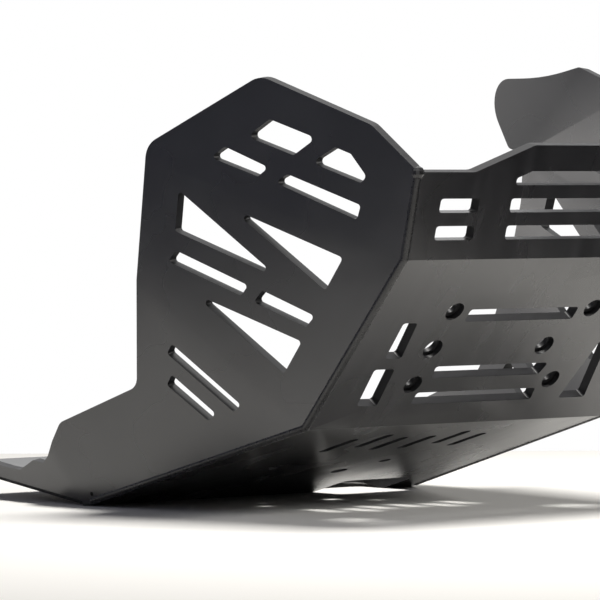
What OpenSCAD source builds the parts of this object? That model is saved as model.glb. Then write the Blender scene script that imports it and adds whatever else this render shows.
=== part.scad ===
// Motorcycle skid plate, folded and welded from one thick plastic sheet.
// The frame: X to the right, the front of the plate towards -Y, Z up.
// The origin is on the inner face of the belly, in the middle of its width,
// where the plate bears on the engine cradle.

/* [Sheet] */
// Thickness of the plastic sheet
sheet_t = 8; // [5:0.5:12]
// Corner radius that the router leaves in every opening
vent_r = 2.4; // [1:0.2:4]

/* [Profile from the side] */
// Length of the belly from the rear bend to the front bend
belly_len = 245; // [200:1:300]
// Angle that the belly rises to the front
belly_rise = 16; // [8:0.5:25]
// Length of the lower front panel
lower_len = 163; // [150:1:200]
// Angle of the lower front panel above level
lower_rise = 51; // [40:0.5:60]
// Height of the upper front panel at its sides
upper_len = 66; // [60:1:90]
// Height of the upper front panel in the middle
upper_mid = 86.5; // [75:0.5:110]
// Angle of the upper front panel above level
upper_rise = 76; // [65:0.5:85]
// Length of the rear section behind the rear bend
rear_len = 150; // [120:1:220]
// Angle that the rear section rises to the rear
rear_rise = 8; // [4:0.5:12]
// Distance of the cradle seat ahead of the rear bend, along the belly
seat_ahead = 122; // [110:1:150]

/* [Widths] */
// Width across the rear bend
rear_bend_w = 350; // [320:1:400]
// Width across the front bend
front_bend_w = 317; // [300:1:360]
// Width across the bend between the two front panels
nose_bend_w = 309; // [296:1:340]
// Width across the top of the upper front panel
top_w = 312; // [300:1:340]
// Width across the wings at the rear end of their upper fold
wing_w = 420; // [390:1:460]

/* [Wings] */
// Distance of the upper fold's rear end ahead of the rear bend
fold_high_ahead = 114; // [90:1:140]
// Height of the upper fold's rear end
fold_high_h = 268.5; // [250:0.5:300]
// Distance of the lower fold's rear end ahead of the rear bend
fold_low_ahead = 94; // [80:1:110]
// Height of the lower fold's rear end
fold_low_h = 177; // [165:0.5:190]
// Outward lean of the rear side walls
side_lean = 17; // [10:0.5:25]
// Height of the rear side walls at the tail
side_h = 14; // [11:0.5:20]
// Inward bend of the lobe on the right wing
lobe_bend = 14; // [6:0.5:25]

/* [Weld] */
// Radius of the weld bead
bead_r = 3.2; // [3.1:0.1:4]
// Depth of the bead's centre line under both faces
bead_depth = 2.3; // [1.8:0.1:2.4]
// Radius of the melted end at the top of the seam
bead_end_r = 5; // [4:0.1:6.5]

/* [Mounting holes] */
// Diameter of the four corner holes in the lower front panel
corner_hole_d = 16.5; // [10:0.1:20]
// Diameter of the two middle holes in the lower front panel
middle_hole_d = 17.5; // [10:0.1:20]
// Distance of the corner holes from the middle
hole_x = 73; // [70:0.5:76]
// Height of the upper corner holes up the panel
hole_high = 112.5; // [108:0.5:120]
// Height of the lower corner holes up the panel
hole_low = 41; // [38:0.5:44]
// Diameter of the two belly bolt holes
belly_hole_d = 10; // [6:0.1:14]

/* [Hidden] */
$fn = 24;
through = 1;
plastic = [0.13, 0.13, 0.14];
bead_colour = [0.18, 0.18, 0.19];

function unit(v) = v / norm(v);
function forward(rise) = [0, -cos(rise), sin(rise)];
function outer(rise) = [0, -sin(rise), -cos(rise)];
function left_of(n) = n.x < 0 ? n : -n;
function face_normal(a, b, c) = left_of(unit(cross(b - a, c - a)));
function mirrored(pts) = [for (i = [len(pts) - 1:-1:0]) [-pts[i].x, pts[i].y]];
function both_sides(pts) = concat(pts, mirrored(pts));

// corners of the left seam, from the rear bend to the top
bend_mid = sheet_t * outer(belly_rise) - seat_ahead * forward(belly_rise);
front_mid = bend_mid + belly_len * forward(belly_rise);
nose_mid = front_mid + lower_len * forward(lower_rise);
top_mid = nose_mid + upper_len * forward(upper_rise);
rear_corner = bend_mid - [rear_bend_w / 2, 0, 0];
front_corner = front_mid - [front_bend_w / 2, 0, 0];
nose_corner = nose_mid - [nose_bend_w / 2, 0, 0];
top_corner = top_mid - [top_w / 2, 0, 0];

// rear ends of the two wing folds; the lower one lies in the middle facet
fold_high = bend_mid + [-wing_w / 2, -fold_high_ahead, fold_high_h];
mid_n = face_normal(front_corner, nose_corner, fold_high);
low_rel = bend_mid + [0, -fold_low_ahead, fold_low_h] - [0, front_corner.y, front_corner.z];
fold_low = [front_corner.x - (mid_n * low_rel) / mid_n.x, front_corner.y + low_rel.y,
    front_corner.z + low_rel.z];
low_n = face_normal(front_corner, rear_corner, fold_low);
top_n = face_normal(nose_corner, top_corner, fold_high);

// rear side wall: leans outwards along the edge of the rear section
tail_dir = [0, cos(rear_rise), sin(rear_rise)];
tail_up = [0, -sin(rear_rise), cos(rear_rise)];
side_n = [-cos(side_lean), 0, 0] - sin(side_lean) * tail_up;
side_up = cross(side_n, -tail_dir);

// local frames of the wing facets: x towards the front, y up, z outwards
low_x = unit(front_corner - rear_corner);
low_y = cross(low_n, low_x);
mid_x = unit(front_corner - fold_low);
mid_y = cross(mid_n, mid_x);
top_x = unit(nose_corner - fold_high);
top_y = cross(top_n, top_x);
function in_mid(p) = [(p - front_corner) * mid_x, (p - front_corner) * mid_y];

// points of the facets in space, from their place on the facet
function on_low(p) = front_corner + p.x * low_x + p.y * low_y;
function on_mid(p) = front_corner + p.x * mid_x + p.y * mid_y;
function on_top(p) = nose_corner + p.x * top_x + p.y * top_y;
function on_side(p) = rear_corner - p.x * tail_dir + p.y * side_up;

// right wing: a longer upper fold, and a lobe bent inwards along a crease
lobe_ratio = 1.064;
lobe_foot = nose_corner + lobe_ratio * (fold_high - nose_corner);
crease_top_2d = [-131, 90.4];
crease_top = nose_corner + crease_top_2d.x * top_x + crease_top_2d.y * top_y;
crease_x = unit(crease_top - lobe_foot);
crease_out = cross(top_n, crease_x);
lobe_n = sin(lobe_bend) * crease_out + cos(lobe_bend) * top_n;
lobe_y = cross(lobe_n, crease_x);
function on_lobe(p) = lobe_foot + p.x * crease_x + p.y * lobe_y;

// drawing helpers
function side_dir(from, to) = unit(to - from);
function half_angle(a, b, c) = acos(side_dir(b, a) * side_dir(b, c)) / 2;
function turn(a, b, c) = (b.x - a.x) * (c.y - b.y) - (b.y - a.y) * (c.x - b.x);
function corner_centre(a, b, c, r) =
    b + r / sin(half_angle(a, b, c)) * unit(side_dir(b, a) + side_dir(b, c));
function turned(v, angle) =
    [v.x * cos(angle) - v.y * sin(angle), v.x * sin(angle) + v.y * cos(angle)];
// the points of one corner: the corner itself, or an arc of radius r
function corner_points(a, b, c, r) = r == 0 ? [b] :
    let (start = b + r / tan(half_angle(a, b, c)) * side_dir(b, a),
        centre = corner_centre(a, b, c, r),
        sweep = sign(turn(a, b, c)) * (180 - 2 * half_angle(a, b, c)),
        steps = max(2, ceil(abs(sweep) / (r > 100 ? 2 : r > 6 ? 10 : 30))))
    [for (i = [0:steps]) centre + turned(start - centre, sweep * i / steps)];

// polygon with rounded corners; radii is a list, or one radius for all
module rounded(pts, radii) {
    n = len(pts);
    polygon([for (i = [0:n - 1])
        each corner_points(pts[(i + n - 1) % n], pts[i], pts[(i + 1) % n],
            is_list(radii) ? radii[i] : radii)]);
}

// stands its children on a plane: x_dir along it, normal out of it
module on_face(origin, x_dir, normal) {
    y_dir = cross(normal, x_dir);
    translate(origin)
        rotate([atan2(y_dir.z, normal.z), -asin(x_dir.z), atan2(x_dir.y, x_dir.x)])
            children();
}

// a cut right through the sheet on the facet it stands on
module vent(pts, r = vent_r) {
    translate([0, 0, -sheet_t - through]) linear_extrude(sheet_t + 2 * through) rounded(pts, r);
}

// all that lies deeper than a face sunk by depth
module behind(origin, x_dir, normal, depth) {
    reach = 800;
    on_face(origin, x_dir, normal)
        translate([-reach, -reach, -depth - reach]) cube([2 * reach, 2 * reach, reach]);
}

module hole(p, d) {
    translate([p.x, p.y, -sheet_t - through]) cylinder(h = sheet_t + 2 * through, d = d, $fn = 32);
}

// a round rod from p to q that runs on a little past both
module rod(p, q, r) {
    d = q - p;
    past = r / 3;
    translate(p - past * unit(d)) rotate([0, acos(d.z / norm(d)), atan2(d.y, d.x)])
        cylinder(h = norm(d) + 2 * past, r = r);
}

module both() {
    children();
    mirror([1, 0, 0]) children();
}

// the folded shape, before it is trimmed: the space inside all the faces,
// whose meeting lines are the folds
module folded_body(depth) {
    x_dir = [1, 0, 0];
    intersection() {
        behind(bend_mid, x_dir, outer(belly_rise), depth);
        behind(bend_mid, x_dir, [0, sin(rear_rise), -cos(rear_rise)], depth);
        behind(front_mid, x_dir, outer(lower_rise), depth);
        behind(nose_mid, x_dir, outer(upper_rise), depth);
        intersection_for (s = [0, 1], face = [[front_corner, low_x, low_n], [front_corner, mid_x, mid_n],
                [nose_corner, top_x, top_n], [rear_corner, -tail_dir, side_n]])
            mirror([s, 0, 0]) behind(face[0], face[1], face[2], depth);
        mirror([1, 0, 0]) behind(lobe_foot, crease_x, lobe_n, depth);
    }
}

// openings, each drawn on its panel
module belly_cuts() {
    slot_w = 9;
    slot_len = 42;
    on_face(bend_mid, [1, 0, 0], outer(belly_rise)) {
        for (s = [-1, 1], v = [[15, 159], [41, 171], [68, 160]])
            translate([s * v.x, v.y, 0])
                vent([[-slot_w / 2, 0], [slot_w / 2, 0], [slot_w / 2, slot_len],
                    [-slot_w / 2, slot_len]], slot_w / 2 - 0.5);
        hole([-70, 108], belly_hole_d);
        hole([41, 114], belly_hole_d);
        hole([19.5, 83], 14);
        hole([-48.5, 75], 6);
    }
}

module lower_front_cuts() {
    on_face(front_mid, [1, 0, 0], outer(lower_rise)) {
        for (s = [-1, 1]) {
            hole([s * hole_x, hole_high], corner_hole_d);
            hole([s * hole_x, hole_low], corner_hole_d);
        }
        hole([-73.5, 76], middle_hole_d);
        hole([44, 76], middle_hole_d);
        // three slots across
        vent([[-57, 102.2], [57, 102.2], [57, 114.2], [-57, 114.2]]);
        vent([[-57, 46.6], [56, 46.6], [59.5, 58.4], [-59.5, 58.4]]);
        vent([[-63.5, 21], [63.5, 21], [61.5, 32.7], [-63.5, 32.7]]);
        // slots up the sides
        vent([[-117.6, 67.8], [-101, 67.6], [-104.6, 102.1], [-119, 102.4]]);
        vent([[-119, 21.6], [-98.2, 21.2], [-101.2, 57.4], [-121.8, 57.4]]);
        vent([[93.6, 21.2], [122.2, 21.2], [112, 78], [103, 78]]);
    }
}

module upper_front_cuts() {
    above = upper_mid + 150;
    wall = top_w / 2 - 0.8 * sheet_t;
    on_face(nose_mid, [1, 0, 0], outer(upper_rise)) {
        // the top edge
        vent(both_sides([[-wall, above], [-wall, upper_len], [-98, upper_len],
            [-41, upper_mid]]), [0, 0, 14, 10, 10, 14, 0, 0]);
        vent(both_sides([[-55, 56.2], [-54, 61.5], [-39.6, 66.8]]));
        for (v = [35.5, 14.9]) {
            vent([[-56.2, v], [56.2, v], [56.2, v + 10.6], [-56.2, v + 10.6]]);
            for (s = [0, 1]) mirror([s, 0, 0])
                vent([[-128.2, v], [-89.2, v], [-89.2, v + 10.6], [-128.2, v + 10.6]]);
        }
    }
}

module wing_cuts() {
    on_face(front_corner, low_x, low_n) {
        vent([[-97.2, 94], [-105.6, 88.6], [-61.8, 30.2], [-52.2, 33.4]]);
        vent([[-108.6, 72.4], [-117.2, 66.2], [-89.4, 30], [-79.8, 33.6]]);
        // relief hole where the weld starts
        hole([12 - norm(front_corner - rear_corner), 7], 3.2);
    }
    on_face(front_corner, mid_x, mid_n) {
        vent([[-187.5, 83], [-174, 54.4], [-77.5, 83]]);
        vent([[-142, 100.6], [-40.2, 100.9], [-40.2, 131.4]]);
        vent([[-167.4, 30.6], [-166, 42.2], [-98.2, 60.9], [-99.6, 50]]);
        vent([[-88, 53.2], [-86, 65.6], [-37.8, 78.7], [-39.8, 66.8]]);
        vent([[-136.5, 24.2], [-37.4, 24.2], [-37.2, 55]]);
    }
    on_face(nose_corner, top_x, top_n) {
        vent([[-157, 44.6], [-140.8, 63.2], [-97.2, 62.4], [-113.4, 44]], 3);
        vent([[-185.4, 19.4], [-174.3, 31.2], [-132.6, 28.5], [-140, 19]]);
        vent([[-97, 43.6], [-79.6, 61], [-65, 60.6], [-47.4, 48.8], [-51, 42.8]], 3);
        vent([[-125, 19.5], [-114.6, 28.9], [-47, 27], [-47.4, 15.6]]);
    }
}

// the wing's free edge, seen square to its middle facet
tab_h = side_h + 13;
tail_edge = [for (p = [[-37.5, 34.5], [-45, tab_h], [-57.5, tab_h], [-76.5, side_h + 1.2],
    [-90, side_h], [-rear_len - 20, side_h]]) on_side(p)];
low_edge = concat([fold_low, on_low([-147.5, 72.9]), on_low([-239, 67.3])], tail_edge);
low_radii = [0, 12, 12, 0, 1.5, 3, 3, 0, 0];
left_edge = concat([on_top([-157.4, 91.7]), on_top([-244.5, 10.3]), fold_high], low_edge);
left_radii = concat([20, 2.5, 0], low_radii);
right_edge = concat([crease_top, on_lobe([105.5, 38.1]), on_lobe([57, 45.2]),
    on_lobe([-24, 71.5]), on_lobe([-16.5, 9]), lobe_foot, on_mid([-212, 50.5])], low_edge);
right_radii = concat([0, 6, 350, 24, 5, 0, 20], low_radii);

// all that lies beyond the edge
module wing_trim(edge, radii) {
    b = on_top([-53.2, 86.6]);
    start = top_corner + 1.5 * unit(top_corner - b);
    far = 400;
    inward = 80;
    outward = 30;
    outline = concat([start + far * forward(upper_rise - 16), start, b], edge,
        [edge[len(edge) - 1] + [0, 0, far]]);
    on_face(front_corner, mid_x, mid_n)
        translate([0, 0, -inward]) linear_extrude(inward + outward)
            rounded([for (p = outline) in_mid(p)], concat([0, 0, 16], radii, [0]));
}

// drain and service opening across the rear bend
module drain_cut() {
    x0 = 64.5;
    x1 = 141;
    ahead = 38.5;
    behind = 28;
    corner = 9;
    translate(bend_mid - [0, 0, 2 * sheet_t]) linear_extrude(6 * sheet_t)
        rounded([[x0, -ahead], [x1, -ahead], [x1, behind], [x0, behind]], corner);
}

// soft outer corner of the bend between the rear section and its side wall
module side_bend_cut() {
    bend_r = 5;
    start = 2;
    out = 3;
    open_angle = 90 + side_lean;
    foot = bend_r / tan(open_angle / 2);
    wall = [cos(open_angle), sin(open_angle)];
    away = [-wall.y, wall.x];
    arc = corner_points([4 * foot, 0], [0, 0], 4 * foot * wall, bend_r);
    // x across the rear section, y up from it, z back along the edge
    on_face(rear_corner, [-1, 0, 0], tail_dir)
        mirror([1, 0, 0])
            translate([0, 0, start])
                linear_extrude(rear_len)
                    polygon(concat(arc, [foot * wall + out * away, -out * [1, 1],
                        [foot, -out]]));
}

// weld bead along the left seam
function inset(p, n1, n2) = p + [bead_depth * 0.79, 0, 0]
    - bead_depth * (n1 + n2) / (1 + n1 * n2);
bead_start = inset(rear_corner, outer(belly_rise), outer(belly_rise))
    + 9 * unit(front_corner - rear_corner);
bead_front = inset(front_corner, outer(belly_rise), outer(lower_rise));
bead_nose = inset(nose_corner, outer(lower_rise), outer(upper_rise));
bead_top = inset(top_corner, outer(upper_rise), outer(upper_rise)) - [0, 0, 1];

module bead() {
    rod(bead_start, bead_front, bead_r);
    rod(bead_front, bead_nose, bead_r);
    rod(bead_nose, bead_top, bead_r);
    // melted end, left as the nozzle is pulled away
    translate(bead_top) sphere(r = bead_end_r, $fn = 12);
}

// the pieces
module folded_sheet() {
    tail = bend_mid + rear_len * tail_dir;
    color(plastic)
        difference() {
            intersection() {
                folded_body(0);
                behind(tail, [1, 0, 0], tail_dir, 0);
                translate([-400, -400, -200]) cube([800, 800, 520]);
            }
            folded_body(sheet_t);
            wing_trim(left_edge, left_radii);
            mirror([1, 0, 0]) wing_trim(right_edge, right_radii);
            belly_cuts();
            lower_front_cuts();
            upper_front_cuts();
            both() wing_cuts();
            drain_cut();
            both() side_bend_cut();
            both() bead();
        }
}

module left_weld_bead() {
    color(bead_colour) bead();
}

module right_weld_bead() {
    color(bead_colour) mirror([1, 0, 0]) bead();
}

folded_sheet();
left_weld_bead();
right_weld_bead();
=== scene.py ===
"""Visual model of a folded and welded motorcycle skid plate, lit on a pale table."""

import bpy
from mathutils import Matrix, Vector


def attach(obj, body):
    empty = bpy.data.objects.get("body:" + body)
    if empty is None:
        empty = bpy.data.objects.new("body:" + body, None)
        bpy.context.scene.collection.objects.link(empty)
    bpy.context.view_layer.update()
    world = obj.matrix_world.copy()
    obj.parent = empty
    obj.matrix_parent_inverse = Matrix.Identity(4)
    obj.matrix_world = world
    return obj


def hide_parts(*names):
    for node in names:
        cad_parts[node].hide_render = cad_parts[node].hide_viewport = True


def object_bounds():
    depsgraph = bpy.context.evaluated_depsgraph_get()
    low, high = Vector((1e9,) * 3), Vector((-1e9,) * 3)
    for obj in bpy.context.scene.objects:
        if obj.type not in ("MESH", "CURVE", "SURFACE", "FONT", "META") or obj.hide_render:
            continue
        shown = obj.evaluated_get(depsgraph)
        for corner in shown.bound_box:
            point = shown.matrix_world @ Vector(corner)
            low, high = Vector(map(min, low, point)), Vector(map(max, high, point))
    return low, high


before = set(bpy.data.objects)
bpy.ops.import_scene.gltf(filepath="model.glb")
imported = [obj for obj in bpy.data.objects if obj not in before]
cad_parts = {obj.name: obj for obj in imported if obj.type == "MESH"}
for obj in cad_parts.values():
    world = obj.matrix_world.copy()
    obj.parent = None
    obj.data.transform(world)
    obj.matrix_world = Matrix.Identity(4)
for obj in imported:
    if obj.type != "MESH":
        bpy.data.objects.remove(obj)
cad_box = [list(corner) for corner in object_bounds()]

import logging
import math
from collections import defaultdict
from collections.abc import Iterable
from dataclasses import dataclass, field
from enum import Enum

import bmesh
import bpy
from mathutils import Matrix, Vector

logging.basicConfig(level=logging.INFO, format="%(name)s: %(message)s")
log = logging.getLogger("skid_plate")

Triple = tuple[float, float, float]
Socket = bpy.types.NodeSocket

MM = 0.001
PLASTIC_IOR = 1.52


class Slot(Enum):
    """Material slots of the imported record."""

    SHEET = "sheet"
    WELD = "weld"


class Region(Enum):
    """Kinds of surface on the sheet, in the order of its material slots."""

    SKIN = 0
    ROUTED_EDGE = 1


class Ray(Enum):
    """Kinds of light path that see the studio's bright backdrop."""

    CAMERA = "Is Camera Ray"
    GLOSSY = "Is Glossy Ray"
    TRANSMISSION = "Is Transmission Ray"


@dataclass(frozen=True)
class Grain:
    """One noise pattern over the object.

    Attributes:
        scale: how fine the pattern is.
        detail: how many finer layers it has.
        rough: how strong the finer layers are.
        turn: turn of a stretched pattern about X, Y and Z, in degrees, or None for an even one.
        stretch: how fine a stretched pattern is along each turned axis.
    """

    scale: float = 1.0
    detail: float = 2.0
    rough: float = 0.5
    turn: Triple | None = None
    stretch: Triple = (1.0, 1.0, 1.0)


@dataclass(frozen=True)
class Span:
    """How a stretch of a pattern's values is mapped.

    Attributes:
        start: the pattern's value that becomes low.
        end: the pattern's value that becomes high.
        low: the mapped value at start and below it.
        high: the mapped value at end and above it.
    """

    start: float
    end: float
    low: float
    high: float


@dataclass(frozen=True)
class Relief:
    """How much a pattern raises the surface.

    Attributes:
        strength: strength of the bump.
        distance: its height in metres.
    """

    strength: float
    distance: float


@dataclass
class Nodes:
    """Short hand for building one procedural material.

    Attributes:
        material: the material whose node tree is being built.
    """

    material: bpy.types.Material

    def __post_init__(self) -> None:
        """Opens the node tree and adds the object's coordinates."""
        self.material.use_nodes = True
        self.tree = self.material.node_tree
        self.shader = self.tree.nodes["Principled BSDF"]
        self.place = self.tree.nodes.new("ShaderNodeTexCoord").outputs["Object"]

    def link(self, source: Socket, target: Socket) -> None:
        """Joins two sockets."""
        self.tree.links.new(source, target)

    def pattern(self, grain: Grain) -> Socket:
        """Adds a noise pattern.

        Args:
            grain: what the pattern is like.

        Returns:
            The output of its factor.
        """
        place = self.place
        if grain.turn is not None:
            mapping = self.tree.nodes.new("ShaderNodeMapping")
            mapping.inputs["Rotation"].default_value = [math.radians(a) for a in grain.turn]
            mapping.inputs["Scale"].default_value = grain.stretch
            self.link(self.place, mapping.inputs["Vector"])
            place = mapping.outputs["Vector"]
        noise = self.tree.nodes.new("ShaderNodeTexNoise")
        noise.inputs["Scale"].default_value = grain.scale
        noise.inputs["Detail"].default_value = grain.detail
        noise.inputs["Roughness"].default_value = grain.rough
        self.link(place, noise.inputs["Vector"])
        return noise.outputs["Fac"]

    def ranged(self, value: Socket, span: Span) -> Socket:
        """Maps a value, clamped at both ends.

        Args:
            value: the output to map.
            span: how it is mapped.

        Returns:
            The mapped value's output.
        """
        node = self.tree.nodes.new("ShaderNodeMapRange")
        limits = {"From Min": span.start, "From Max": span.end, "To Min": span.low, "To Max": span.high}
        for name, limit in limits.items():
            node.inputs[name].default_value = limit
        self.link(value, node.inputs["Value"])
        return node.outputs["Result"]

    def total(self, first: Socket | float, second: Socket) -> Socket:
        """Adds two values.

        Args:
            first: an output, or a plain number.
            second: an output.

        Returns:
            The sum's output.
        """
        node = self.tree.nodes.new("ShaderNodeMath")
        node.operation = "ADD"
        if isinstance(first, float):
            node.inputs[0].default_value = first
        else:
            self.link(first, node.inputs[0])
        self.link(second, node.inputs[1])
        return node.outputs["Value"]

    def mixed(self, factor: Socket, tone: Triple, pale: Triple) -> Socket:
        """Mixes two colours.

        Args:
            factor: the pale colour's share.
            tone: the colour where the factor is 0.
            pale: the colour where it is 1.

        Returns:
            The colour's output.
        """
        node = self.tree.nodes.new("ShaderNodeMix")
        node.data_type = "RGBA"
        node.inputs["A"].default_value = (*tone, 1)
        node.inputs["B"].default_value = (*pale, 1)
        self.link(factor, node.inputs["Factor"])
        return node.outputs["Result"]

    def bumps(self, *layers: tuple[Socket, Relief]) -> None:
        """Chains bumps onto the shader's normal.

        Args:
            layers: each bump's height and relief.
        """
        normal = None
        for height, relief in layers:
            node = self.tree.nodes.new("ShaderNodeBump")
            node.inputs["Strength"].default_value = relief.strength
            node.inputs["Distance"].default_value = relief.distance
            self.link(height, node.inputs["Height"])
            if normal is not None:
                self.link(normal, node.inputs["Normal"])
            normal = node.outputs["Normal"]
        self.link(normal, self.shader.inputs["Normal"])


@dataclass(frozen=True)
class SatinPlastic:
    """Pressed black plastic sheet: satin and faintly wavy, with soft smears from handling.

    Attributes:
        tone: its colour.
        smeared: its colour where a smear is at its strongest.
        gloss: strength of its reflections.
        roughness: its least roughness.
        cloud: soft patches, and the roughness that they add.
        smear: long soft smears, the roughness that they add and how far they show.
        wave: waves of the pressed face.
        peel: the face's finer unevenness.
    """

    tone: Triple = (0.016, 0.016, 0.018)
    smeared: Triple = (0.0312, 0.0312, 0.0346)
    gloss: float = 0.9
    roughness: float = 0.23
    cloud: Grain = Grain(scale=9.0)
    cloud_roughness: Span = Span(0.3, 0.7, 0.0, 0.07)
    smear: Grain = Grain(turn=(18, 40, 25), stretch=(60, 9, 14))
    smear_roughness: Span = Span(0.5, 0.8, 0.0, 0.04)
    smear_tone: Span = Span(0.4, 0.8, 0.0, 0.8)
    wave: Grain = Grain(scale=7.0, detail=0.0)
    wave_relief: Relief = Relief(0.03, 0.010)
    peel: Grain = Grain(scale=60.0, detail=0.0)
    peel_relief: Relief = Relief(0.01, 0.001)

    def make(self) -> bpy.types.Material:
        """Builds the finish.

        Returns:
            The material.
        """
        n = Nodes(bpy.data.materials.new("satin_black_sheet"))
        n.shader.inputs["IOR"].default_value = PLASTIC_IOR
        n.shader.inputs["Specular IOR Level"].default_value = self.gloss
        cloud = n.pattern(self.cloud)
        smear = n.pattern(self.smear)
        wave = n.pattern(self.wave)
        peel = n.pattern(self.peel)
        clouded = n.total(self.roughness, n.ranged(cloud, self.cloud_roughness))
        roughness = n.total(clouded, n.ranged(smear, self.smear_roughness))
        n.link(roughness, n.shader.inputs["Roughness"])
        colour = n.mixed(n.ranged(smear, self.smear_tone), self.tone, self.smeared)
        n.link(colour, n.shader.inputs["Base Color"])
        n.bumps((wave, self.wave_relief), (peel, self.peel_relief))
        return n.material


@dataclass(frozen=True)
class RoutedPlastic:
    """Edges cut by a router: matt, with fine cutter lines. Their tone is darker than the sheet's, which
    is painted shade on the cut walls and the bolt ledges.

    Attributes:
        tone: its colour, darker than the sheet's tone as painted shade.
        pale: its colour where a cutter line is at its strongest.
        gloss: strength of its reflections.
        lines: the cutter's lines, their roughness, how far they show and their relief.
        chatter: the cutter's finer marks.
    """

    # Painted shade: the cut walls get half the sheet's tone, so they look shaded under any lamp.
    tone: Triple = (0.008, 0.008, 0.009)
    pale: Triple = (0.0152, 0.0152, 0.0171)
    gloss: float = 0.26
    lines: Grain = Grain(rough=0.6, turn=(8, 12, 0), stretch=(120, 120, 900))
    lines_roughness: Span = Span(0.3, 0.7, 0.40, 0.52)
    lines_tone: Span = Span(0.35, 0.75, 0.0, 1.0)
    lines_relief: Relief = Relief(0.08, 0.0003)
    chatter: Grain = Grain(scale=300.0)
    chatter_relief: Relief = Relief(0.04, 0.0002)

    def make(self) -> bpy.types.Material:
        """Builds the finish.

        Returns:
            The material.
        """
        n = Nodes(bpy.data.materials.new("routed_edge_painted_shade"))
        n.shader.inputs["IOR"].default_value = PLASTIC_IOR
        n.shader.inputs["Specular IOR Level"].default_value = self.gloss
        lines = n.pattern(self.lines)
        chatter = n.pattern(self.chatter)
        n.link(n.ranged(lines, self.lines_roughness), n.shader.inputs["Roughness"])
        colour = n.mixed(n.ranged(lines, self.lines_tone), self.tone, self.pale)
        n.link(colour, n.shader.inputs["Base Color"])
        n.bumps((lines, self.lines_relief), (chatter, self.chatter_relief))
        return n.material


@dataclass(frozen=True)
class WeldPlastic:
    """Plastic run out of a welding nozzle: finely rippled along the bead.

    Attributes:
        tone: its colour.
        pale: its colour where a drag line is at its strongest.
        drag: lines drawn out by the nozzle, how far they show and their relief.
        ripple: fine ripples, their roughness and their relief.
    """

    tone: Triple = (0.011, 0.011, 0.012)
    pale: Triple = (0.0242, 0.0242, 0.0264)
    drag: Grain = Grain(turn=(0, 0, 0), stretch=(420, 40, 40))
    drag_tone: Span = Span(0.4, 0.8, 0.0, 1.0)
    drag_relief: Relief = Relief(0.06, 0.0004)
    ripple: Grain = Grain(scale=300.0)
    ripple_roughness: Span = Span(0.3, 0.7, 0.22, 0.38)
    ripple_relief: Relief = Relief(0.03, 0.0002)

    def make(self) -> bpy.types.Material:
        """Builds the finish.

        Returns:
            The material.
        """
        n = Nodes(bpy.data.materials.new("drawn_weld_plastic"))
        n.shader.inputs["IOR"].default_value = PLASTIC_IOR
        drag = n.pattern(self.drag)
        ripple = n.pattern(self.ripple)
        n.link(n.ranged(ripple, self.ripple_roughness), n.shader.inputs["Roughness"])
        colour = n.mixed(n.ranged(drag, self.drag_tone), self.tone, self.pale)
        n.link(colour, n.shader.inputs["Base Color"])
        n.bumps((drag, self.drag_relief), (ripple, self.ripple_relief))
        return n.material


@dataclass(frozen=True)
class StagePlain:
    """A matt finish of one colour for the table and the cards, which are no part of the object.

    Attributes:
        name: what the finish is called.
        tone: its colour.
        roughness: its roughness.
    """

    name: str
    tone: Triple
    roughness: float = 0.9

    def make(self) -> bpy.types.Material:
        """Builds the finish.

        Returns:
            The material.
        """
        n = Nodes(bpy.data.materials.new(self.name))
        n.shader.inputs["Base Color"].default_value = (*self.tone, 1)
        n.shader.inputs["Roughness"].default_value = self.roughness
        n.shader.inputs["Specular IOR Level"].default_value = 0.0
        return n.material


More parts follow.
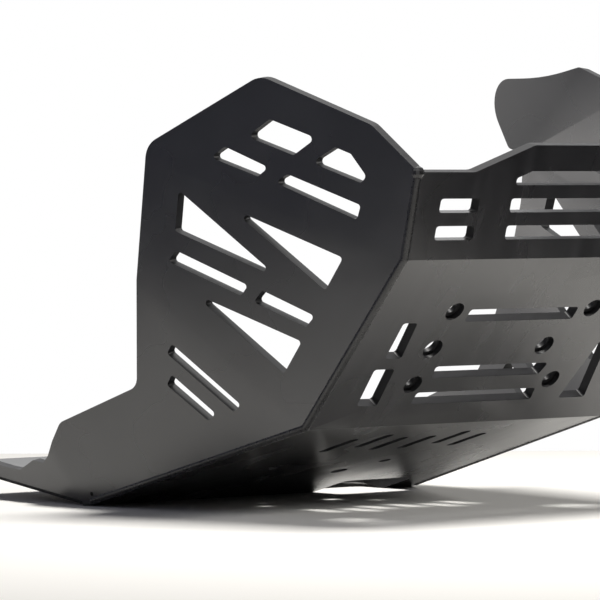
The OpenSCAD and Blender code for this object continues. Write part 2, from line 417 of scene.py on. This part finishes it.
@dataclass(frozen=True)
class WingCorner:
    """The rounded rear top corner of the left wing, with lengths and points in millimetres.

    Attributes:
        corner: the point of the sharp corner.
        below: a point down the wing's rear edge.
        above: a point along its top edge.
        facet: three points of the wing's middle facet, which the cut is square to.
        radius: radius of the rounded corner.
        steps: steps along its arc.
        beyond: how far the cutter reaches outwards from the arc's ends.
        depth: how far the cutter reaches to each side of the facet.
    """

    corner: Triple = (-210.501, -0.353, 237.562)
    below: Triple = (-210.0, 1.069, 227.182)
    above: Triple = (-190.95, -106.535, 288.115)
    facet: tuple[Triple, Triple, Triple] = (
        (-158.5, -120.440, 26.213),
        (-154.5, -223.020, 152.888),
        (-210.0, 1.069, 227.182),
    )
    radius: float = 18.0
    steps: int = 10
    beyond: float = 12.0
    depth: float = 60.0

    def make(self) -> bpy.types.Object:
        """Builds the cutter, a prism square to the facet that leaves the arc standing.

        Returns:
            The cutter.
        """
        corner = Vector(self.corner)
        a, b, c = (Vector(p) for p in self.facet)
        square = (b - a).cross(c - a).normalized()
        flat = [Vector(p) - square * square.dot(Vector(p) - corner) for p in (self.below, self.above)]
        down, along = ((p - corner).normalized() for p in flat)
        half = down.angle(along) / 2
        reach = self.radius / math.tan(half)
        centre = corner + (down + along).normalized() * self.radius / math.sin(half)
        first, last = (corner + d * reach - centre for d in (down, along))
        turns = [first.slerp(last, i / self.steps).normalized() for i in range(self.steps + 1)]
        arc = [centre + self.radius * turn for turn in turns]
        out = (corner - centre).normalized() * self.beyond
        ring = [*arc, arc[-1] + out, arc[0] + out]
        bm = bmesh.new()
        low = [bm.verts.new((p - square * self.depth) * MM) for p in ring]
        high = [bm.verts.new((p + square * self.depth) * MM) for p in ring]
        bm.faces.new(low)
        bm.faces.new(high[::-1])
        for side in zip(low, high, high[1:] + high[:1], low[1:] + low[:1]):
            bm.faces.new(side)
        bmesh.ops.recalc_face_normals(bm, faces=bm.faces)
        mesh = bpy.data.meshes.new("corner_cutter")
        bm.to_mesh(mesh)
        bm.free()
        cutter = bpy.data.objects.new("corner_cutter", mesh)
        bpy.context.scene.collection.objects.link(cutter)
        return cutter

    def cut(self, mesh: bpy.types.Mesh) -> bpy.types.Mesh:
        """Cuts a copy of a mesh.

        Args:
            mesh: the mesh to copy, which stays as it is.

        Returns:
            The cut mesh.
        """
        cutter = self.make()
        blank = bpy.data.objects.new("blank", mesh.copy())
        bpy.context.scene.collection.objects.link(blank)
        step = blank.modifiers.new("corner", "BOOLEAN")
        step.operation, step.solver, step.object = "DIFFERENCE", "EXACT", cutter
        graph = bpy.context.evaluated_depsgraph_get()
        rounded = bpy.data.meshes.new_from_object(blank.evaluated_get(graph))
        for spare in (blank, cutter):
            spare_mesh = spare.data
            bpy.data.objects.remove(spare)
            bpy.data.meshes.remove(spare_mesh)
        log.info("wing corner: %d faces before, %d after", len(mesh.polygons), len(rounded.polygons))
        return rounded


@dataclass(frozen=True)
class Ledge:
    """The ledge in one round hole, in millimetres.

    Attributes:
        across: the hole's place across the panel.
        up: its place up the panel.
        outer: the ledge's outer radius, which lies just inside the sheet.
        inner: its inner radius, for the bolt.
    """

    across: float
    up: float
    outer: float = 8.3
    inner: float = 4.5


@dataclass(frozen=True)
class BoltLedges:
    """Ledges for the bolt heads inside the round holes of the lower front panel, in millimetres.

    Attributes:
        foot: middle of the fold under the panel.
        outwards: direction out of the panel.
        up: direction up the panel.
        ledges: each hole's ledge.
        top: depth of a ledge's seat under the panel's face.
        back: depth of its back.
        steps: points round each circle.
    """

    foot: Triple = (0.0, -120.440, 26.213)
    outwards: Triple = (0.0, -0.777146, -0.629320)
    up: Triple = (0.0, -0.629320, 0.777146)
    ledges: tuple[Ledge, ...] = (
        Ledge(-73, 112.5),
        Ledge(73, 112.5),
        Ledge(-73, 41),
        Ledge(73, 41),
        Ledge(-73.5, 76, outer=8.8, inner=6.3),
        Ledge(44, 76, outer=8.8, inner=6.3),
    )
    top: float = 4.5
    back: float = 7.95
    steps: int = 48

    def add(self, bm: bmesh.types.BMesh) -> None:
        """Adds the ledges to the sheet's mesh as closed rings.

        Args:
            bm: the sheet's mesh.
        """
        sheet = set(bm.faces)
        foot, outwards, up = (Vector(v) for v in (self.foot, self.outwards, self.up))
        across = Vector((1, 0, 0))
        for hole in self.ledges:
            centre = foot + across * hole.across + up * hole.up
            inner, outer = hole.inner, hole.outer
            section = ((outer, self.top), (inner, self.top), (inner, self.back), (outer, self.back))
            verts = [bm.verts.new((centre + across * r - outwards * d) * MM) for r, d in section]
            edges = [bm.edges.new(pair) for pair in zip(verts, verts[1:] + verts[:1])]
            bmesh.ops.spin(
                bm,
                geom=[*verts, *edges],
                cent=centre * MM,
                axis=outwards,
                angle=math.tau,
                steps=self.steps,
                use_merge=True,
            )
        rings = [f for f in bm.faces if f not in sheet]
        bmesh.ops.recalc_face_normals(bm, faces=rings)
        # The ledges take the routed finish, whose darker tone is painted shade.
        for f in rings:
            f.material_index = Region.ROUTED_EDGE.value
            f.smooth = True
        log.info("bolt ledges: %d, with %d faces", len(self.ledges), len(rings))


@dataclass
class FoldedSheet:
    """The sheet, with its rounded wing corner, its bolt ledges and a small bevel along every cut edge.

    Attributes:
        node: name of the frame's node that the piece stands for.
        rim_ease: width of the bevel along every cut edge.
        rim_steps: segments of that bevel.
        rim_angle: least angle at a cut edge, in degrees.
        wall_width: mean width above which a face is a cut wall and no part of the bevel.
        sharp_angle: angle from which an edge is shaded sharp, in degrees.
        flat_angle: angle up to which neighbouring faces are joined, in degrees.
        joint_gap: distance up to which points are merged.
        skin_area: least area, in square metres, of a plane that is one of the sheet's faces.
        rear_end: share of Y in a normal from which a large plane is the sheet's cut rear end.
        skin_turn: least agreement of a face's normal with its plane's.
        skin_gap: most distance of a face from its plane.
        skins: normal and distance of each plane of the sheet's faces, as found.
    """

    node: str = "folded_sheet"
    rim_ease: float = 0.45 * MM
    rim_steps: int = 2
    rim_angle: float = 50.0
    wall_width: float = 0.54 * MM
    sharp_angle: float = 38.0
    flat_angle: float = 0.6
    joint_gap: float = 0.002 * MM
    skin_area: float = 1400 * MM * MM
    rear_end: float = 0.98
    skin_turn: float = 0.985
    skin_gap: float = 1.6 * MM
    skins: list[tuple[Vector, float]] = field(default_factory=list)

    def clean(self, bm: bmesh.types.BMesh) -> None:
        """Merges doubled points and joins the faces of each plane.

        Args:
            bm: the sheet's mesh.
        """
        bmesh.ops.remove_doubles(bm, verts=bm.verts, dist=self.joint_gap)
        bmesh.ops.dissolve_degenerate(bm, edges=bm.edges, dist=self.joint_gap)
        bmesh.ops.recalc_face_normals(bm, faces=bm.faces)
        flat = math.radians(self.flat_angle)
        bmesh.ops.dissolve_limit(bm, angle_limit=flat, verts=bm.verts, edges=bm.edges)

    def find_skins(self, bm: bmesh.types.BMesh) -> None:
        """Finds the planes of the sheet's faces by their summed area.

        Args:
            bm: the sheet's mesh.
        """
        area: dict[tuple[float, ...], float] = defaultdict(float)
        for f in bm.faces:
            distance = f.normal.dot(f.calc_center_median())
            area[(*(round(c, 2) for c in f.normal), round(distance / MM))] += f.calc_area()
        self.skins = [
            (Vector(key[:3]).normalized(), key[3] * MM)
            for key, total in area.items()
            if total > self.skin_area and key[1] < self.rear_end
        ]

    def on_skin(self, f: bmesh.types.BMFace) -> bool:
        """Tells whether a face lies on one of the sheet's faces.

        Args:
            f: the face.

        Returns:
            Whether it does.
        """
        distance = f.normal.dot(f.calc_center_median())
        return any(
            f.normal.dot(normal) > self.skin_turn and abs(distance - away) < self.skin_gap
            for normal, away in self.skins
        )

    def is_rim(self, e: bmesh.types.BMEdge, skin: dict[bmesh.types.BMFace, bool]) -> bool:
        """Tells whether an edge lies between one of the sheet's faces and a cut wall.

        Args:
            e: the edge.
            skin: whether each face of the mesh lies on one of the sheet's faces.

        Returns:
            Whether it does.
        """
        return (
            len(e.link_faces) == 2
            and sum(skin[f] for f in e.link_faces) == 1
            and e.calc_face_angle(0) > math.radians(self.rim_angle)
        )

    def is_wall(self, f: bmesh.types.BMFace) -> bool:
        """Tells a cut wall from the narrow faces of the bevel."""
        return f.calc_area() > self.wall_width * max(e.calc_length() for e in f.edges)

    def ease(self, bm: bmesh.types.BMesh, edges: Iterable[bmesh.types.BMEdge]) -> None:
        """Bevels the cut edges.

        Args:
            bm: the sheet's mesh.
            edges: its cut edges.
        """
        bmesh.ops.bevel(
            bm,
            geom=list(edges),
            offset=self.rim_ease,
            offset_type="OFFSET",
            segments=self.rim_steps,
            profile=0.5,
            affect="EDGES",
            clamp_overlap=True,
            loop_slide=False,
            material=-1,
        )

    def shape(self, bm: bmesh.types.BMesh) -> None:
        """Works the plain sheet into the finished one.

        Args:
            bm: the sheet's mesh.
        """
        self.clean(bm)
        self.find_skins(bm)
        skin = {f: self.on_skin(f) for f in bm.faces}
        rims = [e for e in bm.edges if self.is_rim(e, skin)]
        # Cut walls take the routed finish, whose darker tone is painted shade.
        for f in bm.faces:
            f.material_index = (Region.SKIN if skin[f] else Region.ROUTED_EDGE).value
            f.smooth = True
        log.info("sheet: %d faces, %d rim edges", len(bm.faces), len(rims))
        self.ease(bm, rims)
        for f in bm.faces:
            if not self.on_skin(f) and not self.is_wall(f):
                f.material_index = Region.SKIN.value
        BoltLedges().add(bm)
        for e in bm.edges:
            e.smooth = e.calc_face_angle(0) < math.radians(self.sharp_angle)

    def make(self, finishes: list[bpy.types.Material]) -> bpy.types.Object:
        """Builds the piece.

        Args:
            finishes: materials in the order of Region.

        Returns:
            The new object.
        """
        bm = bmesh.new()
        bm.from_mesh(WingCorner().cut(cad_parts[self.node].data))
        self.shape(bm)
        mesh = bpy.data.meshes.new("sheet")
        bm.to_mesh(mesh)
        bm.free()
        for finish in finishes:
            mesh.materials.append(finish)
        piece = bpy.data.objects.new("sheet", mesh)
        bpy.context.scene.collection.objects.link(piece)
        even = piece.modifiers.new("even_normals", "WEIGHTED_NORMAL")
        even.keep_sharp = True
        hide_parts(self.node)
        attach(piece, "root")
        return piece


@dataclass(frozen=True)
class WeldBeads:
    """The two weld beads, which keep the frame's own shapes.

    Attributes:
        nodes: names of the frame's nodes.
    """

    nodes: tuple[str, ...] = ("left_weld_bead", "right_weld_bead")

    def make(self, finish: bpy.types.Material) -> list[bpy.types.Object]:
        """Gives the beads their finish.

        Args:
            finish: the beads' material.

        Returns:
            The beads' objects.
        """
        beads = [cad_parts[name] for name in self.nodes]
        for bead in beads:
            bead.data.materials.clear()
            bead.data.materials.append(finish)
        return beads


@dataclass(frozen=True)
class Lamp:
    """One soft box, placed across the view, along it and above the table, in metres.

    Attributes:
        name: what the lamp is called.
        place: its place.
        aim: the point that it faces.
        size: its width and height.
        radiance: how bright its face is.
        colour: its tint.
    """

    name: str
    place: Triple
    aim: Triple
    size: tuple[float, float]
    radiance: float
    colour: Triple

    def make(self, at: Vector, aim: Vector) -> bpy.types.Object:
        """Builds the lamp.

        Args:
            at: the lamp's place in the frame.
            aim: the point that it faces in the frame.

        Returns:
            The lamp.
        """
        data = bpy.data.lights.new(self.name, "AREA")
        data.shape = "RECTANGLE"
        data.size, data.size_y = self.size
        data.energy = self.radiance * math.pi * data.size * data.size_y
        data.color = self.colour
        lamp = bpy.data.objects.new(self.name, data)
        lamp.location = at
        lamp.rotation_mode = "QUATERNION"
        lamp.rotation_quaternion = (aim - at).to_track_quat("-Z", "Y")
        bpy.context.scene.collection.objects.link(lamp)
        return lamp


@dataclass(frozen=True)
class Card:
    """One flat card of the stage, placed across the view, along it and above the table.

    Attributes:
        name: what the card is called.
        corners: its corners in metres.
        finish: its finish.
        seen: whether the camera sees it and it casts a shadow.
    """

    name: str
    corners: tuple[Triple, Triple, Triple, Triple]
    finish: StagePlain
    seen: bool = False

    def make(self, corners: Iterable[Vector]) -> bpy.types.Object:
        """Builds the card.

        Args:
            corners: its corners in the frame.

        Returns:
            The card.
        """
        bm = bmesh.new()
        bm.faces.new([bm.verts.new(c) for c in corners])
        mesh = bpy.data.meshes.new(self.name)
        bm.to_mesh(mesh)
        bm.free()
        mesh.materials.append(self.finish.make())
        card = bpy.data.objects.new(self.name, mesh)
        card.visible_shadow = card.visible_camera = self.seen
        bpy.context.scene.collection.objects.link(card)
        return card


@dataclass
class Studio:
    """The table, the cards beside it, the lamps, the world and the camera.

    Attributes:
        turn: angle of the camera round the plate, in degrees.
        drop: angle that the camera looks down, in degrees.
        target: the point in the middle of the picture, in millimetres.
        distance: from the camera to that point, in metres.
        focal: focal length over sensor width.
        sensor: sensor width, in millimetres.
        clip: nearest and farthest distance that the camera sees.
        dim: the world's light on the object.
        backdrop: the world's colour in the picture and in reflections.
        cards: the table and the cards.
        lamps: the lamps.
    """

    turn: float = 42.25
    drop: float = 1.49
    target: Triple = (50.4, 115.07, 114.28)
    distance: float = 3.868
    focal: float = 8.007
    sensor: float = 36.0
    clip: tuple[float, float] = (0.05, 50.0)
    dim: Triple = (0.04, 0.041, 0.045)
    backdrop: Triple = (1.0, 1.0, 1.0)
    cards: tuple[Card, ...] = (
        Card(
            "table",
            ((-0.80, -3.2, 0.0), (0.62, -3.2, 0.0), (0.62, 0.75, 0.0), (-0.80, 0.62, 0.0)),
            StagePlain("pale_table", (0.95, 0.94, 0.91), roughness=0.45),
            seen=True,
        ),
        Card(
            "left_card",
            ((-0.95, -1.6, -0.1), (-0.95, 0.55, -0.1), (-0.95, 0.55, 1.1), (-0.95, -1.6, 1.1)),
            StagePlain("grey_card", (0.15, 0.16, 0.215)),
        ),
        Card(
            "right_card",
            ((0.50, -1.3, 0.0), (0.50, 0.30, 0.0), (0.50, 0.30, 0.9), (0.50, -1.3, 0.9)),
            StagePlain("black_card", (0.010, 0.010, 0.011)),
        ),
    )
    lamps: tuple[Lamp, ...] = (
        Lamp("overhead", (0.26, -0.14, 1.5), (0.0, 0.0, 0.0), (0.45, 0.45), 45.0, (1.0, 0.98, 0.95)),
        Lamp("right_low", (1.9, 0.0, 0.92), (0.0, 0.0, 0.0), (0.7, 0.5), 19.0, (1.0, 0.98, 0.95)),
        Lamp("back_left", (-1.25, 0.85, 0.35), (0.0, 0.0, 0.14132), (0.8, 0.6), 1.1, (1.0, 0.95, 0.90)),
    )

    def __post_init__(self) -> None:
        """Works out the directions of the view."""
        a, e = math.radians(self.turn), math.radians(self.drop)
        self.ahead = Vector((math.sin(a) * math.cos(e), math.cos(a) * math.cos(e), -math.sin(e)))
        self.right = Vector((math.cos(a), -math.sin(a), 0))
        self.up = self.right.cross(self.ahead)
        self.away = Vector((math.sin(a), math.cos(a), 0))

    def point(self, place: Triple) -> Vector:
        """Finds a point in the frame.

        Args:
            place: the point across the view, along it and above the table.

        Returns:
            The point in the frame.
        """
        across, along, height = place
        floor_z = cad_box[0][2]
        return self.right * across + self.away * along + Vector((0, 0, floor_z + height))

    def make_camera(self) -> None:
        """Builds the camera."""
        data = bpy.data.cameras.new("camera")
        data.sensor_width = self.sensor
        data.lens = self.sensor * self.focal
        data.clip_start, data.clip_end = self.clip
        cam = bpy.data.objects.new("camera", data)
        place = Matrix((self.right, self.up, -self.ahead)).transposed().to_4x4()
        place.translation = Vector(self.target) * MM - self.ahead * self.distance
        cam.matrix_world = place
        bpy.context.scene.collection.objects.link(cam)
        bpy.context.scene.camera = cam

    def make_world(self) -> None:
        """Builds the world, which is dim for the object's light and bright for every Ray."""
        world = bpy.data.worlds.new("studio")
        bpy.context.scene.world = world
        world.use_nodes = True
        tree = world.node_tree
        path = tree.nodes.new("ShaderNodeLightPath")
        first, *others = Ray
        seen = path.outputs[first.value]
        for ray in others:
            add = tree.nodes.new("ShaderNodeMath")
            add.operation = "ADD"
            add.use_clamp = True
            tree.links.new(seen, add.inputs[0])
            tree.links.new(path.outputs[ray.value], add.inputs[1])
            seen = add.outputs[0]
        mix = tree.nodes.new("ShaderNodeMix")
        mix.data_type = "RGBA"
        mix.inputs["A"].default_value = (*self.dim, 1)
        mix.inputs["B"].default_value = (*self.backdrop, 1)
        tree.links.new(seen, mix.inputs["Factor"])
        tree.links.new(mix.outputs["Result"], tree.nodes["Background"].inputs["Color"])

    def make(self) -> None:
        """Builds the stage."""
        for card in self.cards:
            made = card.make(self.point(c) for c in card.corners)
            log.info("stage: %s", made.name)
        for lamp in self.lamps:
            made = lamp.make(self.point(lamp.place), self.point(lamp.aim))
            log.info("lamp: %s", made.name)
        self.make_camera()
        self.make_world()
        bpy.context.scene.view_settings.view_transform = "Standard"


def main() -> None:
    """Builds the plate and its stage."""
    sheet = FoldedSheet().make([SatinPlastic().make(), RoutedPlastic().make()])
    log.info("%s: %d faces, slot %s", sheet.name, len(sheet.data.polygons), Slot.SHEET.value)
    for bead in WeldBeads().make(WeldPlastic().make()):
        log.info("%s: %d faces, slot %s", bead.name, len(bead.data.polygons), Slot.WELD.value)
    Studio().make()


if __name__ == "__main__":
    main()
